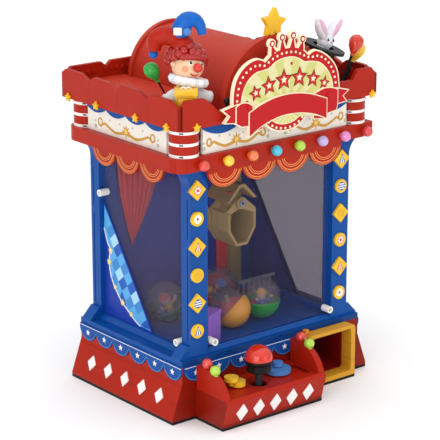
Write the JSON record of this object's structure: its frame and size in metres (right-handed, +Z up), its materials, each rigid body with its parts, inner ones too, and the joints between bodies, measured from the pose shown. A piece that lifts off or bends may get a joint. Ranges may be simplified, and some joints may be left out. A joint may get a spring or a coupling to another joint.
{
  "type": "toy claw machine",
  "caption": "Brick-built toy claw machine with a glazed cabinet, gantry claw, joystick and crank controls, prize chute and decorated circus roof.",
  "frame": {"origin": "centre of the red base on the surface it stands on", "axes": "+X to the player's right along the front, +Y to the rear, +Z up"},
  "size_m": [0.2909, 0.2593, 0.4532],
  "materials": {
    "red": "moulded satin red",
    "dark_red": "deep red, satin",
    "blue": "moulded satin blue",
    "navy": "printed navy",
    "black": "satin black",
    "dark_grey": "satin dark grey",
    "grey": "satin light grey",
    "white": "satin white",
    "gold": "satin ochre",
    "yellow": "satin yellow",
    "tan": "dark tan satin",
    "light_blue": "satin sand blue",
    "clear": "grey tinted clear sheet",
    "lamp_colours": "assorted pearly lamp colours",
    "balloon_colours": "glossy red, yellow and green",
    "cream_print": "cream panel with gold scroll print",
    "skin": "doll head, satin",
    "hair_red": "moulded curls and cap",
    "capsule_colours": "capsule cups in assorted colours"
  },
  "bodies": {
    "cabinet": {"back_wall": "navy", "balloons": "balloon_colours", "base_plate": "black", "base_shell": "red", "beam": "red", "capsule_caps": "clear", "capsule_cups": "capsule_colours", "chute_frame": "gold", "clown_body": "white", "clown_collar": "white", "clown_hat": "hair_red", "clown_head": "skin", "coin_slot": "dark_red", "column_cores": "red", "column_rings": "white", "console_cheeks": "red", "console_shell": "red", "curtains": "red", "deck": "blue", "diamond_tiles": "white", "drapes": "red", "frieze_panels": "cream_print", "frieze_valance": "blue", "front_posts": "blue", "gantry_rails": "dark_grey", "gift_box": "yellow", "lamps": "lamp_colours", "parapet": "red", "picket_fence": "grey", "prize_ramp": "dark_red", "rabbit": "white", "rear_column": "tan", "rear_posts": "blue", "roof_deck": "red", "roof_star": "yellow", "side_panels": "navy", "side_windows": "clear", "sign_board": "red", "sills": "blue", "skirt": "blue", "top_hat": "black", "vault": "red", "window_front": "clear", "window_pins": "white", "yellow_tiles": "yellow"},
    "yellow_crank": {"yellow_crank_knob": "yellow", "yellow_crank_shaft": "dark_grey"},
    "blue_crank": {"blue_crank_knob": "light_blue", "blue_crank_shaft": "dark_grey"},
    "gimbal": {"stick_gimbal": "dark_grey"},
    "stick": {"stick_shaft": "dark_grey", "stick_dish": "dark_grey", "stick_ball": "red"},
    "bridge": {"bridge": "grey"},
    "trolley": {"trolley": "dark_grey"},
    "claw": {"claw_mast": "grey", "claw_head": "tan", "claw_axle": "grey"},
    "jaw_left": {"jaw_left": "tan"},
    "jaw_right": {"jaw_right": "tan"}
  },
  "joints": [
    {"name": "bridge_slide", "type": "slide", "parent": "cabinet", "child": "bridge", "axis": [0, 1, 0], "range_m": [-0.0345, 0.0665]},
    {"name": "trolley_slide", "type": "slide", "parent": "bridge", "child": "trolley", "axis": [1, 0, 0], "range_m": [-0.0645, 0.0645]},
    {"name": "stick_side", "type": "hinge", "parent": "cabinet", "child": "gimbal", "pos_m": [-0.048, -0.128, 0.025], "axis": [0, 1, 0], "range_deg": [0, 15], "stiffness_Nm_per_rad": 0.15, "springref_deg": -6.88},
    {"name": "stick_pull", "type": "hinge", "parent": "gimbal", "child": "stick", "pos_m": [-0.048, -0.128, 0.025], "axis": [1, 0, 0], "range_deg": [-4, 15]},
    {"name": "carriage_crank", "type": "hinge", "parent": "cabinet", "child": "yellow_crank", "pos_m": [-0.072, -0.121, 0.036], "axis": [0, 0, 1], "range_deg": [-202, 386]},
    {"name": "trolley_crank", "type": "hinge", "parent": "cabinet", "child": "blue_crank", "pos_m": [-0.011, -0.117, 0.036], "axis": [0, 0, 1], "range_deg": [-374, 374]},
    {"name": "claw_lift", "type": "slide", "parent": "trolley", "child": "claw", "axis": [0, 0, 1], "range_m": [-0.0445, 0.012]},
    {"name": "jaw_left_hinge", "type": "hinge", "parent": "claw", "child": "jaw_left", "pos_m": [0, -0.02, 0.215], "axis": [0, 1, 0], "range_deg": [0, 28.1]},
    {"name": "jaw_right_hinge", "type": "hinge", "parent": "claw", "child": "jaw_right", "pos_m": [0, -0.02, 0.215], "axis": [0, 1, 0], "range_deg": [-28.1, 0]}
  ],
  "couplings": [
    {"joint": "carriage_crank", "follows": "bridge_slide", "rad_per_m": 100},
    {"joint": "trolley_crank", "follows": "trolley_slide", "rad_per_m": 100},
    {"joint": "claw_lift", "follows": "stick_pull", "m_per_rad": -0.168},
    {"joint": "jaw_left_hinge", "follows": "stick_side", "ratio": 1.8667},
    {"joint": "jaw_right_hinge", "follows": "stick_side", "ratio": -1.8667}
  ]
}
